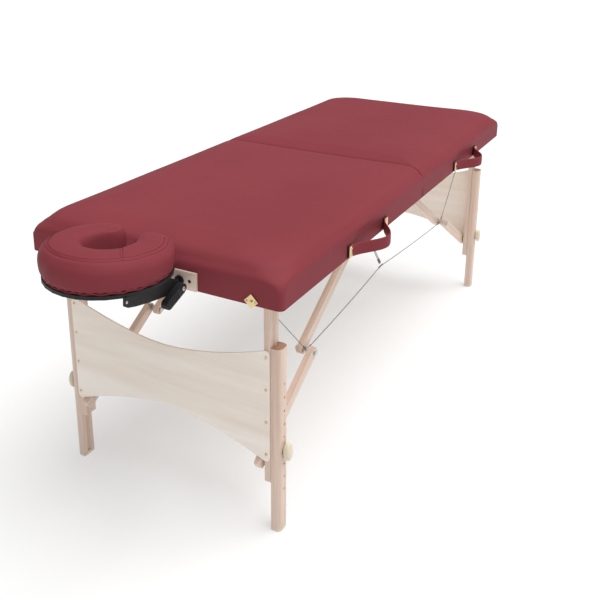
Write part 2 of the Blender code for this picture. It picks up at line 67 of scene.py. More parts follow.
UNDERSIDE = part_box("near_frame")[0].z
HALF = 0.927  # length of one half
HALF_WIDTH = 0.381
COVER = 0.003  # from the rails' outer faces to the vinyl's
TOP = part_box("near_cushion")[1].z - UNDERSIDE
DECK_TOP = deck_high.z - UNDERSIDE
NEAR, FAR = -1, 1
ENDS = (("near", NEAR), ("far", FAR))
SIDES = (("left", 1), ("right", -1))
BODY_OF = {
    node: body
    for body, nodes in frame["record"]["behaviour"]["bodies"].items()
    for node in nodes
}

# ---- padding -------------------------------------------------------------------------
PAD_START = 0.004  # the padding starts this much smaller, and swells
ROLL_WIDE, ROLL_HIGH = 0.062, 0.054  # the top's rolled edge
FOLD_WIDE, FOLD_HIGH = 0.024, 0.014  # the softer roll at the fold
FOLD_CLEAR = 0.0003
FOLD_HEM = 0.0006  # how far the hem is tucked in at the fold
CORNER_LOW, CORNER_HIGH = 0.014, 0.060  # radius of an end corner at the rails and above
CORNER_RISE = (0.043, 0.080)  # w between which it grows
CORNER_GROWTH = 0.95  # how much rounder the corner gets as the top rolls in
PLEAT_START, PLEAT_TALL, PLEAT_DEEP = 0.030, 0.060, 0.0009  # w, height and depth
STRETCH_REACH = 0.015  # the cover is drawn to its outline from this far inside
HEM_TURN = 0.030  # height of the cover's turned-in edge
PAD_VOXEL, PAD_CAP = 0.006, 0.006
CRADLE_VOXEL, CRADLE_CAP = 0.004, 0.0045
CLOTH_FRAMES, PRESSURE = 20, 4.0
FREE_START, FREE_OVER = 0.006, 0.022  # above the deck, where the cover comes off the rails
TOP_WAVE, SIDE_WAVE = 0.0009, 0.0008

# ---- face cradle ---------------------------------------------------------------------
RING_CENTRE = -0.128
RING_MIDDLE = 0.1045
RING_HALF = 0.0525
RING_TAPER = 0.0055
RING_END_ANGLE = math.radians(42)
HEM_TOP = 0.081  # the cradle's padding is held below this w
GATHER_TOP = 0.112  # its cover is gathered below this w
SEAM_W = 0.1455  # height of the sewn seam round the cradle's top
SEAM_DEEP, SEAM_HALF = 0.0013, 0.0016
SEAM_REACH = 0.034  # the seam only draws in points nearer the outline than this
FRONT_SEAM = (Vector((-0.152, -0.060)), Vector((-0.201, -0.102)))  # u, v of its ends
STITCH_APART = 0.0030  # from the middle of the seam across the top to each row of thread
STITCH_STEPS = 420  # ends of stitches in a row round the cradle
THREAD_RADIUS = 0.00042
PIPING_INSET, PIPING_W, PIPING_RADIUS = 0.0105, 0.0806, 0.0023
HEAD_RADIUS = 0.0035  # a small screw's head
CHEEK_SCREW = {-1: (-0.2185, 0.0590), 1: (-0.1800, 0.0590)}  # u, w on each side
CRADLE_SLOPE, SLOPE_START = 0.050, 0.095  # the cushion's top rises to the front, above this w

TILT_AXIS = (-0.040, 0.022)  # u, w
LEVER_TIP = (-0.101, -0.0005)  # the cam lever's far end, u and w
LEVER_FACE = 0.1412  # v
CHEEK_FACE = 0.1236  # v
POST = (0.105, 0.022)  # v, w of a post
OUTLET_SCREW = (0.1335, 0.024)  # v, w
OUTLET_FACE = -0.0060  # u
COLLAR = (  # radius and u
    (0.0125, -0.0062),
    (0.0125, -0.0098),
    (0.0105, -0.0112),
    (0.0062, -0.0112),
    (0.0062, -0.0062),
)
RIBS, FIRST_RIB, RIB_PITCH, RIB_HALF = 6, 0.022, 0.0075, 0.0085  # along the lever

# ---- legs and braces -----------------------------------------------------------------
LEG_U = 0.0825
LEG_HINGE = (LEG_U, 0.027)
LEG_PIVOT = (LEG_U, -0.458)
BRACE_PIVOT = (0.877, 0.027)
UPPER_LINK = (0.2390, 0.2570)
LOWER_LINK = (0.2730, 0.2908)
BOLT_RADIUS, WASHER_RADIUS, WASHER_THICK = 0.0078, 0.0098, 0.0012
LEG_OUTER = 0.3420
LEG_INNER = 0.2964
PANEL_FACE_U = 0.0575
KNOB_W = -0.427
KNOB_OVAL = (0.0150, 0.0260)  # half its width and height
PANEL_SCREW_V, PANEL_HEAD_RADIUS = 0.304, 0.0044
HOLE_RADIUS, HOLE_DEPTH = 0.0036, 0.014
HOLE_PITCH, FIRST_HOLE_W, HOLES = 0.038, -0.237, 9
PANEL_SCREWS = (-0.164, -0.253, -0.344, -0.437)  # w
CABLE_V = 0.2650
CABLE_MIDDLE = (0.247, -0.268)
RAIL_ANCHOR = (0.062, 0.0042)
CABLE_START = 0.0100  # from an elbow's centre to a cable's end
CABLE_RADIUS, SLEEVE_RADIUS = 0.0013, 0.0026
SLEEVE = (0.003, 0.017)  # where an end's sleeve begins and ends
RAIL_SAG, STAY_SAG = 0.001, 0.004
CLEAT = ((-0.014, -0.009), (0.010, 0.009))  # its corners' u and v from the rail anchor
CLEAT_W = (0.0040, 0.0058)
CENTRE_CABLE_U = HALF + 0.004
CENTRE_CABLE_TOP = (0.110, -0.007)  # v, w
STRANDS = (-0.004, 0.004)  # the centre cable is double

# ---- straps, catches and centre hinge ------------------------------------------------
STRAP_U = (0.352, 0.606)
STRAP_ROOT, STRAP_BULGE = HALF_WIDTH + 0.0026, 0.0590
STRAP_W, STRAP_HALF, STRAP_THICK = 0.019, 0.0172, 0.0024
PLATE_INSET = 0.006  # from a strap's end to the middle of its plates
BACKING = (0.0125, (0.3812, 0.3826), (0.0015, 0.0375))  # half its width, v, w
PLATE = (0.0105, (0.3866, 0.3882), (0.0030, 0.0360))
PLATE_SCREWS = (0.0100, 0.0290)  # w
CATCH_V, CATCH_W = 0.301, 0.0105
RIVET_APART = 0.0115  # from the catch's middle
LEAF_V = (0.02, 0.35)
LEAF_U = (HALF - 0.022, HALF - 0.0052)

# ---- light and camera ----------------------------------------------------------------
bpy_scene = bpy.context.scene
bpy_scene.view_settings.view_transform = "Standard"
AMBIENT = 0.30  # how strongly the white backdrop lights the object
FLOOR_COLOUR, FLOOR_GLOW = (0.50, 0.50, 0.50, 1.0), 0.42
CAMERA_TURN = (27.742, 17.52, 0.532)  # yaw, pitch and roll in degrees
CAMERA_PLACE = (-2.3469, -1.1695, 1.4905)  # from the table's middle, on the floor
CAMERA_LENS, CAMERA_SHIFT = 48.15, -0.2


def place(end, side, u, v, w):
    """A half's own u, v, w in the frame's coordinates."""
    return CENTRE + Vector((end * (HALF - u), side * v, UNDERSIDE + w))


def elbow():
    """Where the two links of a brace meet, in u and w."""
    run = BRACE_PIVOT[0] - LEG_PIVOT[0]
    drop = BRACE_PIVOT[1] - LEG_PIVOT[1]
    reach = math.hypot(run, drop)
    share = (reach + run - drop) / 2 / reach
    return (BRACE_PIVOT[0] - run * share, BRACE_PIVOT[1] - drop * share)


ELBOW = elbow()
BRACE_ANGLE = math.atan2(BRACE_PIVOT[1] - ELBOW[1], BRACE_PIVOT[0] - ELBOW[0])


# ---- materials -----------------------------------------------------------------------
class Nodes:
    """A material's node tree, with short ways to add and join nodes."""

    def __init__(self, name):
        self.material = bpy.data.materials.new(name)
        self.material.use_nodes = True
        self.tree = self.material.node_tree
        self.shader = self.tree.nodes["Principled BSDF"]
        self.position = self.add("ShaderNodeTexCoord").outputs["Object"]

    def add(self, kind, **values):
        """A new node, with its properties and its inputs' values set by name."""
        node = self.tree.nodes.new(kind)
        for key, value in values.items():
            if hasattr(node, key):
                setattr(node, key, value)
            else:
                node.inputs[key.replace("_", " ")].default_value = value
        return node

    def join(self, output, target):
        self.tree.links.new(output, target)

    def noise(self, scale, detail=3.0, source=None, roughness=0.5):
        node = self.add("ShaderNodeTexNoise", Scale=scale, Detail=detail, Roughness=roughness)
        self.join(source or self.position, node.inputs["Vector"])
        return node.outputs["Fac"]

    def ramp(self, source, stops):
        """A colour that follows the source through a list of (place, colour) stops."""
        node = self.add("ShaderNodeValToRGB")
        elements = node.color_ramp.elements
        while len(elements) < len(stops):
            elements.new(0.5)
        for element, (at, colour) in zip(elements, stops):
            element.position = at
            element.color = (*colour, 1.0)
        self.join(source, node.inputs["Fac"])
        return node.outputs["Color"]

    def bump(self, source, strength, distance, under=None):
        node = self.add("ShaderNodeBump", Strength=strength, Distance=distance)
        self.join(source, node.inputs["Height"])
        if under:
            self.join(under, node.inputs["Normal"])
        return node.outputs["Normal"]

    def set(self, **values):
        """Constant values on the shader's own sockets."""
        for key, value in values.items():
            self.shader.inputs[key.replace("_", " ")].default_value = value


def vinyl_material(name, base, deep):
    """Soft upholstery vinyl: a fine leather grain and broad, faint changes of tone."""
    n = Nodes(name)
    tone = n.ramp(n.noise(3.5, 2.0), [(0.35, base), (0.65, deep)])
    n.join(tone, n.shader.inputs["Base Color"])
    grain = n.add("ShaderNodeTexVoronoi", Scale=900.0)
    n.join(n.position, grain.inputs["Vector"])
    fine = n.bump(grain.outputs["Distance"], 0.12, 0.0003)
    soft = n.bump(n.noise(22.0, 3.0), 0.10, 0.004, fine)
    n.join(soft, n.shader.inputs["Normal"])
    rough = n.add("ShaderNodeMapRange", To_Min=0.50, To_Max=0.62)
    n.join(n.noise(60.0), rough.inputs["Value"])
    n.join(rough.outputs["Result"], n.shader.inputs["Roughness"])
    n.set(Specular_IOR_Level=0.07)
    return n.material


def wood_material(
    name, pale, dark, tilt=(0.0, 0.0, 0.0), long=(1 / 70, 1 / 70, 1 / 2.2), ends=False
):
    """Clear-varnished wood with its grain along the local Z, turned by tilt."""
    n = Nodes(name)
    aligned = n.add("ShaderNodeMapping", vector_type="TEXTURE")
    aligned.inputs["Rotation"].default_value = tilt
    aligned.inputs["Scale"].default_value = long
    n.join(n.position, aligned.inputs["Vector"])
    grain = n.noise(1.0, 6.0, aligned.outputs["Vector"], 0.62)
    broad = n.noise(0.25, 2.0, aligned.outputs["Vector"])
    colour = n.ramp(grain, [(0.30, dark), (0.62, pale)])
    warm = n.ramp(broad, [(0.35, (0.93, 0.90, 0.86)), (0.65, (1.0, 1.0, 1.0))])
    mix = n.add("ShaderNodeMixRGB", blend_type="MULTIPLY", Fac=0.8)
    n.join(colour, mix.inputs["Color1"])
    n.join(warm, mix.inputs["Color2"])
    result = mix.outputs["Color"]
    if ends:
        # sawn ends face up or down; those that face up are darker
        facing = n.add("ShaderNodeSeparateXYZ")
        normal = n.add("ShaderNodeTexCoord").outputs["Normal"]
        n.join(normal, facing.inputs["Vector"])
        sawn = n.add("ShaderNodeMapRange", From_Min=0.90, From_Max=0.97, To_Min=0.0, To_Max=1.0)
        n.join(facing.outputs["Z"], sawn.inputs["Value"])
        swap = n.add("ShaderNodeMixRGB", Color2=(*END_GRAIN, 1.0))
        n.join(sawn.outputs["Result"], swap.inputs["Fac"])
        n.join(result, swap.inputs["Color1"])
        result = swap.outputs["Color"]
    n.join(result, n.shader.inputs["Base Color"])
    n.join(n.bump(grain, 0.10, 0.0004), n.shader.inputs["Normal"])
    rough = n.add("ShaderNodeMapRange", To_Min=0.34, To_Max=0.50)
    n.join(grain, rough.inputs["Value"])
    n.join(rough.outputs["Result"], n.shader.inputs["Roughness"])
    return n.material


def metal_material(name, colour, low, high):
    """Bare metal, a little darker and rougher in places: low and high are its roughness."""
    n = Nodes(name)
    n.set(Metallic=1.0)
    worn = n.ramp(
        n.noise(45.0, 4.0), [(0.3, colour), (0.75, tuple(0.82 * c for c in colour))]
    )
    n.join(worn, n.shader.inputs["Base Color"])
    rough = n.add("ShaderNodeMapRange", To_Min=low, To_Max=high)
    n.join(n.noise(140.0, 3.0), rough.inputs["Value"])
    n.join(rough.outputs["Result"], n.shader.inputs["Roughness"])
    return n.material


def plastic_material(name, colour, low, high, grain):
    """Moulded plastic, rubber or paint with a fine grain, its roughness from low to high."""
    n = Nodes(name)
    tone = n.ramp(
        n.noise(30.0, 2.0), [(0.3, colour), (0.7, tuple(0.92 * c for c in colour))]
    )
    n.join(tone, n.shader.inputs["Base Color"])
    n.join(n.bump(n.noise(700.0, 2.0), grain, 0.0003), n.shader.inputs["Normal"])
    rough = n.add("ShaderNodeMapRange", To_Min=low, To_Max=high)
    n.join(n.noise(90.0), rough.inputs["Value"])
    n.join(rough.outputs["Result"], n.shader.inputs["Roughness"])
    n.set(Specular_IOR_Level=0.35)
    return n.material


PALE, TAN = (0.80, 0.64, 0.55), (0.64, 0.46, 0.37)
END_GRAIN = (0.40, 0.22, 0.14)
PANEL_PALE, PANEL_TAN = (0.97, 0.90, 0.83), (0.90, 0.80, 0.71)
MATERIALS = {
    "vinyl": vinyl_material("vinyl", (0.234, 0.043, 0.054), (0.218, 0.039, 0.049)),
    "vinyl_seam": vinyl_material("vinyl_seam", (0.12, 0.018, 0.024), (0.10, 0.015, 0.02)),
    "maple": wood_material("maple_upright", PALE, TAN, ends=True),
    "maple_along": wood_material("maple_along", PALE, TAN, (0.0, math.pi / 2, 0.0)),
    "maple_across": wood_material("maple_across", PALE, TAN, (math.pi / 2, 0.0, 0.0)),
    "birch_ply": wood_material(
        "birch_ply", PANEL_PALE, PANEL_TAN, (math.pi / 2, 0.0, 0.0), (1 / 28, 1 / 28, 1 / 2.5)
    ),
    "brass": metal_material("brass", (0.78, 0.60, 0.33), 0.16, 0.34),
    "steel": metal_material("steel", (0.58, 0.58, 0.59), 0.22, 0.40),
    "cable": metal_material("cable", (0.30, 0.29, 0.28), 0.35, 0.50),
    "black_plastic": plastic_material("black_plastic", (0.006, 0.006, 0.007), 0.45, 0.60, 0.15),
    "black_steel": plastic_material("black_steel", (0.006, 0.006, 0.007), 0.36, 0.48, 0.08),
    "cream_plastic": plastic_material("cream_plastic", (0.76, 0.68, 0.53), 0.38, 0.52, 0.10),
    "foot_rubber": plastic_material("foot_rubber", (0.74, 0.65, 0.52), 0.62, 0.80, 0.20),
}
for end_name, end in ENDS:
    MATERIALS[f"{end_name}_link"] = wood_material(
        f"maple_{end_name}_link", PALE, TAN, (0.0, math.pi / 2 + end * BRACE_ANGLE, 0.0)
    )


# ---- shapes --------------------------------------------------------------------------
def loft(rings, closed=False):
    """A skin over a list of rings of u, v, w points, capped unless it closes on itself."""
    shape = bmesh.new()
    loops = [[shape.verts.new(point) for point in ring] for ring in rings]
    pairs = list(zip(loops, loops[1:]))
    if closed:
        pairs.append((loops[-1], loops[0]))
    count = len(rings[0])
    for low, high in pairs:
        for i in range(count):
            j = (i + 1) % count
            shape.faces.new((low[i], low[j], high[j], high[i]))
    if not closed:
        shape.faces.new(loops[0])
        shape.faces.new(loops[-1])
    return shape


def circle(centre, radius, sides, start=0.0, turn=2 * math.pi):
    """Points round a circle, or along an arc when turn is less than a full turn."""
    steps = sides if abs(turn - 2 * math.pi) < 1e-9 else sides - 1
    return [
        (
            centre[0] + radius * math.cos(start + turn * i / steps),
            centre[1] + radius * math.sin(start + turn * i / steps),
        )
        for i in range(sides)
    ]


def turned(profile, axis, centre, sides=24):
    """A solid of revolution along an axis: profile points are (radius, distance along it)."""
    rings = []
    for radius, level in profile:
        points = circle(centre, radius, sides)
        rings.append([along(axis, level, a, b) for a, b in points])
    return loft(rings)


def along(axis, level, a, b):
    """A point from its level on one axis and its other two coordinates in order."""
    return {"u": (level, a, b), "v": (a, level, b), "w": (a, b, level)}[axis]


def block(low, high, soft=0.0):
    """A box, with its edges rounded by soft."""
    shape = bmesh.new()
    bmesh.ops.create_cube(shape, size=1.0)
    for vert in shape.verts:
        vert.co = Vector(
            [(l + h) / 2 + c * (h - l) for l, h, c in zip(low, high, vert.co)]
        )
    if soft:
        bmesh.ops.bevel(
            shape, geom=shape.edges[:], offset=soft, segments=2, affect="EDGES", profile=0.5
        )
    return shape


def tube(points, radius, sides):
    """A round tube along a list of points."""
    rings = []
    for i, point in enumerate(points):
        ahead = Vector(points[min(i + 1, len(points) - 1)])
        behind = Vector(points[max(i - 1, 0)])
        way = (ahead - behind).normalized()
        turn = way.to_track_quat("Z", "Y")
        rings.append(
            [Vector(point) + turn @ Vector((a, b, 0)) for a, b in circle((0, 0), radius, sides)]
        )
    return loft(rings)


def to_frame(shape, end, side):
    """Carries a shape from u, v, w to its half and side, with its faces turned outwards."""
    for vert in shape.verts:
        vert.co = place(end, side, *vert.co)
    bmesh.ops.recalc_face_normals(shape, faces=shape.faces)
    return shape


def mesh_of(name, shape):
    """A mesh made from a shape, which is used up."""
    mesh = bpy.data.meshes.new(name)
    shape.to_mesh(mesh)
    shape.free()
    return mesh


def merge(whole, shape):
    """Adds a shape to a larger one, and uses it up."""
    mesh = mesh_of("merged", shape)
    whole.from_mesh(mesh)
    bpy.data.meshes.remove(mesh)


def object_of(name, data):
    """An object in the scene for a mesh, a lamp or a camera."""
    made = bpy.data.objects.new(name, data)
    bpy_scene.collection.objects.link(made)
    return made


def shade(mesh, angle=35.0):
    """Smooth shading, but for edges sharper than the angle."""
    mesh.shade_smooth()
    mesh.set_sharp_from_angle(angle=math.radians(angle))


def piece(name, shape, material, end=FAR, side=1, body=None, angle=35.0):
    """An object from a shape in u, v, w, riding on a body."""
    mesh = mesh_of(name, to_frame(shape, end, side))
    shade(mesh, angle)
    return adopt(name, mesh, material, body)


def adopt(name, mesh, material, body=None):
    """An object from a finished mesh, with its material, slot and body."""
    made = object_of(name, mesh)
    mesh.materials.clear()
    mesh.materials.append(MATERIALS[material])
    if body:
        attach(made, body)
    return made


class Fittings:
    """Small fittings gathered into one object for each body and material."""

    def __init__(self):
        self.shapes = {}

    def add(self, body, material, shape, end, side):
        whole = self.shapes.setdefault((body, material), bmesh.new())
        merge(whole, to_frame(shape, end, side))

    def finish(self):
        for (body, material), whole in self.shapes.items():
            name = f"{body}_{material}_fittings"
            mesh = mesh_of(name, whole)
            shade(mesh)
            adopt(name, mesh, material, body)


fittings = Fittings()


def applied(made):
    """The object's mesh with its modifiers applied, and the modifiers gone."""
    graph = bpy.context.evaluated_depsgraph_get()
    mesh = bpy.data.meshes.new_from_object(made.evaluated_get(graph))
    made.modifiers.clear()
    made.data = mesh
    return mesh


def refined(node, width, segments, material, cutters=(), angle=35.0):
    """A finished copy of a CAD node: holes cut, edges rounded, shown in its place."""
    source = frame["nodes"][node]
    made = object_of(f"{node}_finished", source.data.copy())
    for number, tool in enumerate(cutters):
        step = made.modifiers.new(f"Cut {number}", "BOOLEAN")
        step.operation = "DIFFERENCE"
        step.object = tool
    edge = made.modifiers.new("Edges", "BEVEL")
    edge.width = width
    edge.segments = segments
    edge.limit_method = "ANGLE"
    edge.angle_limit = math.radians(angle)
    bpy.context.view_layer.update()
    mesh = applied(made)
    shade(mesh)
    mesh.materials.clear()
    mesh.materials.append(MATERIALS[material])
    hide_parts(node)
    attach(made, BODY_OF[node])
    return made


def screw_shape(axis, level, centre, out, radius=0.0042):
    """A domed screw head standing out from a face, with a dimple for its driver."""
    tall = radius * 0.42
    profile = [
        (radius, level),
        (radius, level + out * tall * 0.25),
        (radius * 0.80, level + out * tall * 0.80),
        (radius * 0.40, level + out * tall),
        (radius * 0.30, level + out * tall * 0.35),
        (radius * 0.05, level + out * tall * 0.30),
    ]
    return turned(profile, axis, centre, 16)


def hex_bolt(body, level, centre, out, end, side):
    """A washer and a hexagon head on a face across v."""
    base = level + out * WASHER_THICK
    washer_and_shadow_disc = [(WASHER_RADIUS, level), (WASHER_RADIUS, base), (0.003, base)]
    fittings.add(body, "steel", turned(washer_and_shadow_disc, "v", centre), end, side)
    rings = []
    for size, height in ((1.0, 0.0), (1.0, 0.0032), (0.86, 0.0042)):
        points = circle(centre, BOLT_RADIUS * size, 6, 0.3)
        rings.append([(a, base + out * height, b) for a, b in points])
    fittings.add(body, "steel", loft(rings), end, side)


# ---- padding -------------------------------------------------------------------------
def swell(made, voxel, cap, held):
    """Inflates a padded piece: a voxel remesh, then cloth under pressure. held says how
    firmly a point is held, from 0 to 1, and no point moves further than cap."""
    remesh = made.modifiers.new("Voxels", "REMESH")
    remesh.mode = "VOXEL"
    remesh.voxel_size = voxel
    bpy.context.view_layer.update()
    mesh = applied(made)
    start = [vert.co.copy() for vert in mesh.vertices]
    group = made.vertex_groups.new(name="held")
    for vert in mesh.vertices:
        firmness = held(vert.co)
        if firmness > 0:
            group.add([vert.index], firmness, "REPLACE")
    cloth = made.modifiers.new("Cloth", "CLOTH")
    cloth.settings.quality = 4
    cloth.settings.mass = 0.3
    cloth.settings.tension_stiffness = 18
    cloth.settings.compression_stiffness = 18
    cloth.settings.shear_stiffness = 8
    cloth.settings.bending_stiffness = 1.5
    cloth.settings.use_pressure = True
    cloth.settings.uniform_pressure_force = PRESSURE
    cloth.settings.effector_weights.gravity = 0
    cloth.settings.vertex_group_mass = "held"
    for number in range(1, CLOTH_FRAMES + 1):
        bpy_scene.frame_set(number)
    mesh = applied(made)
    bpy_scene.frame_set(1)
    for vert, old in zip(mesh.vertices, start):
        move = vert.co - old
        if move.length > cap:
            vert.co = old + move * (cap / move.length)
    made.vertex_groups.clear()
    return mesh


def smoothed(mesh, rounds):
    """The mesh as a bmesh, with its vertices evened out a few times."""
    shape = bmesh.new()
    shape.from_mesh(mesh)
    every_way = {f"use_axis_{axis}": True for axis in "xyz"}
    for _ in range(rounds):
        bmesh.ops.smooth_vert(shape, verts=shape.verts, factor=0.5, **every_way)
    return shape


def corner_radius(level):
    """The end corners are rounder above the rails than round them."""
    share = (level - CORNER_RISE[0]) / (CORNER_RISE[1] - CORNER_RISE[0])
    share = min(1.0, max(0.0, share))
    return CORNER_LOW + (CORNER_HIGH - CORNER_LOW) * share * share * (3 - 2 * share)


def outline_gap(u, v, radius):
    """How far a point is inside a half's outline, the way out (u, |v|), and its place round
    an end corner, or None away from the corners."""
    a, b = radius - u, abs(v) - (HALF_WIDTH - radius)
    if a > 0 and b > 0:
        length = math.hypot(a, b)
        return radius - length, Vector((-a / length, b / length)), math.atan2(b, a)
    if u < HALF_WIDTH - abs(v):
        return u, Vector((-1.0, 0.0)), None
    return HALF_WIDTH - abs(v), Vector((0.0, 1.0)), None


def pad_outline(inset, fold_inset, corner):
    """One level of a half's padding: rounded at the outer end, nearly square at the fold."""
    near_u = PAD_START + inset
    far_u = HALF - FOLD_CLEAR - fold_inset
    v = HALF_WIDTH - PAD_START * 0.6 - inset
    fold = 0.006
    quarter = math.pi / 2
    return (
        circle((near_u + corner, v - corner), corner, 15, quarter, quarter)
        + circle((near_u + corner, corner - v), corner, 15, 2 * quarter, quarter)
        + circle((far_u - fold, fold - v), fold, 4, 3 * quarter, quarter)
        + circle((far_u - fold, v - fold), fold, 4, 0.0, quarter)
    )


def pad_mesh():
    """One half's padding and cover, in u, v, w, swollen and trimmed at the underside."""
    top = TOP - PAD_START
    rings = []
    levels = [(-0.012, 0.0, 0.0), (CORNER_RISE[0], 0.0, 0.0), (top - ROLL_HIGH, 0.0, 0.0)]
    steps = 10
    for i in range(1, steps + 1):
        angle = math.pi / 2 * i / steps
        level = top - ROLL_HIGH * (1 - math.sin(angle))
        inset = ROLL_WIDE * (1 - math.cos(angle))
        risen = max(0.0, level - (top - FOLD_HIGH)) / FOLD_HIGH
        fold_inset = FOLD_WIDE * (1 - math.sqrt(max(0.0, 1 - risen**2)))
        levels.append((level, inset, fold_inset))
    for level, inset, fold_inset in levels:
        outline = pad_outline(inset, fold_inset, corner_radius(level) + inset * CORNER_GROWTH)
        rings.append([(a, b, level) for a, b in outline])
    shape = loft(rings)
    bmesh.ops.recalc_face_normals(shape, faces=shape.faces)
    made = object_of("padding", mesh_of("padding", shape))

    def held(point):
        """Firm round the rails and at the fold, and less and less firm up the rolled edge."""
        if point.x > HALF - 0.004:
            return 1.0
        share = min(1.0, max(0.0, (point.z - DECK_TOP) / (top - 0.003 - DECK_TOP)))
        return 1.0 - share**3

    mesh = swell(made, PAD_VOXEL, PAD_CAP, held)
    shape = smoothed(mesh, 6)
    bpy.data.objects.remove(made)
    cut = {"geom": shape.verts[:] + shape.edges[:] + shape.faces[:], "clear_inner": True}
    bmesh.ops.bisect_plane(shape, plane_co=(0, 0, 0.001), plane_no=(0, 0, 1), **cut)
    for vert in shape.verts:
        dress(vert.co)
    hem(shape)
    return shape


def dress(point):
    """Draws the swollen padding out to its real size and adds the cover's small creases."""
    u, v, w = point
    side = 1 if v > 0 else -1
    # stretched flat over the rails, and free above the deck
    free = min(1.0, max(0.0, (w - DECK_TOP - FREE_START) / FREE_OVER))
    flat = 1 - free * free * (3 - 2 * free)
    gap, outward, turn = outline_gap(u, v, corner_radius(w))
    move = flat * (gap - 0.0003) if gap < STRETCH_REACH else 0.0
    # pleats gathered where the cover turns round the outer corners
    if turn is not None and w > PLEAT_START:
        fade = math.sin(min(1.0, (w - PLEAT_START) / PLEAT_TALL) * math.pi)
        move += PLEAT_DEEP * max(0.0, fade) * math.sin(turn * 18.0 + 0.8 * side)
    point.x += outward.x * move
    point.y += outward.y * side * move
    if u > HALF - 0.0022:
        point.x = HALF - FOLD_CLEAR + 0.0001
    # slow undulations of the foam under the vinyl
    soft = noise.noise(Vector((u * 5.0, v * 5.0, 3.1)))
    if w > TOP - 0.02:
        point.z += TOP_WAVE * soft
    elif free > 0:
        point.y += free * side * SIDE_WAVE * noise.noise(Vector((u * 9.0, side, w * 20)))


def hem(shape):
    """Turns the cover's lower edge in under the rails."""
    edges = [edge for edge in shape.edges if edge.is_boundary]
    for inward, down in ((0.0, -0.001), (COVER - 0.0005, 0.0), (0.0, HEM_TURN)):
        made = bmesh.ops.extrude_edge_only(shape, edges=edges)["geom"]
        edges = [item for item in made if isinstance(item, bmesh.types.BMEdge)]
        for vert in (item for item in made if isinstance(item, bmesh.types.BMVert)):
            gap, outward, _ = outline_gap(vert.co.x, vert.co.y, CORNER_LOW)
            if inward and vert.co.x > HALF - COVER:
                vert.co.x -= FOLD_HEM
            elif gap < COVER:
                vert.co.x -= outward.x * inward
                vert.co.y -= math.copysign(outward.y * inward, vert.co.y)
            vert.co.z += down


def build_covers():
    """The same padded cover on both halves."""
    shape = pad_mesh()
    for end_name, end in ENDS:
        copy = shape.copy()
        made = piece(f"{end_name}_cover", copy, "vinyl", end, 1, f"{end_name}_half", 60.0)
        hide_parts(f"{end_name}_cushion")
    shape.free()


# ---- face cradle ---------------------------------------------------------------------
def arm_half(way):
    """Half the crescent's width at an angle from the way to the table."""
    across = (math.pi - abs(way)) / (math.pi - RING_END_ANGLE)
    return RING_HALF - RING_TAPER * min(1.0, across) ** 4


def crescent(inset, hollow=None, steps=61):
    """The crescent's outline in the u, v plane, drawn in by inset, and by hollow at the hole."""
    hollow = inset if hollow is None else hollow
    sweep = 2 * (math.pi - RING_END_ANGLE)
    outside, inside = [], []
    for i in range(steps):
        way = RING_END_ANGLE + sweep * i / (steps - 1)
        half = arm_half(way if way <= math.pi else way - 2 * math.pi)
        outer, inner = RING_MIDDLE + half - inset, RING_MIDDLE - half + hollow
        for points, radius in ((outside, outer), (inside, inner)):
            points.append((RING_CENTRE + radius * math.cos(way), radius * math.sin(way)))
    tip = RING_HALF - RING_TAPER - (inset + hollow) / 2
    middle = RING_MIDDLE + (hollow - inset) / 2
    last = RING_END_ANGLE + sweep
    ends = []
    for way, turn in ((last, last), (RING_END_ANGLE, RING_END_ANGLE + math.pi)):
        centre = (RING_CENTRE + middle * math.cos(way), middle * math.sin(way))
        ends.append(circle(centre, tip, 17, turn, math.pi)[1:-1])
    return outside + ends[0] + inside[::-1] + ends[1]


def edge_distance(u, v):
    """How far a point is inside the crescent's outline, and whether it is on its outer side."""
    across, radius = abs(v), math.hypot(u - RING_CENTRE, v)
    way = math.atan2(across, u - RING_CENTRE)
    if way >= RING_END_ANGLE:
        return arm_half(way) - abs(radius - RING_MIDDLE), radius > RING_MIDDLE
    tip = Vector((math.cos(RING_END_ANGLE), math.sin(RING_END_ANGLE))) * RING_MIDDLE
    reach = math.hypot(u - RING_CENTRE - tip.x, across - tip.y)
    return RING_HALF - RING_TAPER - reach, True


CRADLE_PROFILE = (  # w, inset of the outer side, inset of the side round the hole
    (0.0790, 0.0260, 0.0200),
    (0.0790, 0.0160, 0.0120),
    (0.0815, 0.0095, 0.0080),
    (0.0880, 0.0055, 0.0050),
    (0.0990, 0.0030, 0.0030),
    (0.1120, 0.0020, 0.0020),
    (0.1240, 0.0030, 0.0020),
    (0.1330, 0.0075, 0.0030),
    (0.1400, 0.0140, 0.0055),
    (0.1455, 0.0225, 0.0095),
    (0.1488, 0.0310, 0.0150),
    (0.1503, 0.0380, 0.0220),
    (0.1510, 0.0430, 0.0300),
)


def build_cradle_cushion():
    """The crescent cushion, swollen, sewn along its top edge and gathered at its hem."""
    rings = [[(a, b, w) for a, b in crescent(out, hole)] for w, out, hole in CRADLE_PROFILE]
    shape = loft(rings)
    bmesh.ops.recalc_face_normals(shape, faces=shape.faces)
    made = object_of("cradle_padding", mesh_of("cradle_padding", shape))
    mesh = swell(
        made, CRADLE_VOXEL, CRADLE_CAP, lambda point: 1.0 if point.z < HEM_TOP else 0.0
    )
    shape = smoothed(mesh, 4)
    bpy.data.objects.remove(made)
    bmesh.ops.subdivide_edges(shape, edges=shape.edges[:], cuts=1, use_grid_fill=True, smooth=0.0)
    shape.normal_update()
    moves = [(vert, vert.normal * sewn(vert.co)) for vert in shape.verts]
    for vert, move in moves:
        vert.co += move
        vert.co.z += cradle_rise(vert.co)
    shape.normal_update()
    surface = BVHTree.FromBMesh(shape)
    cushion = piece("cradle_padding", shape, "vinyl", NEAR, 1, "cradle_head", 60.0)
    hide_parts("cradle_cushion")
    build_stitching(surface)
    build_piping()


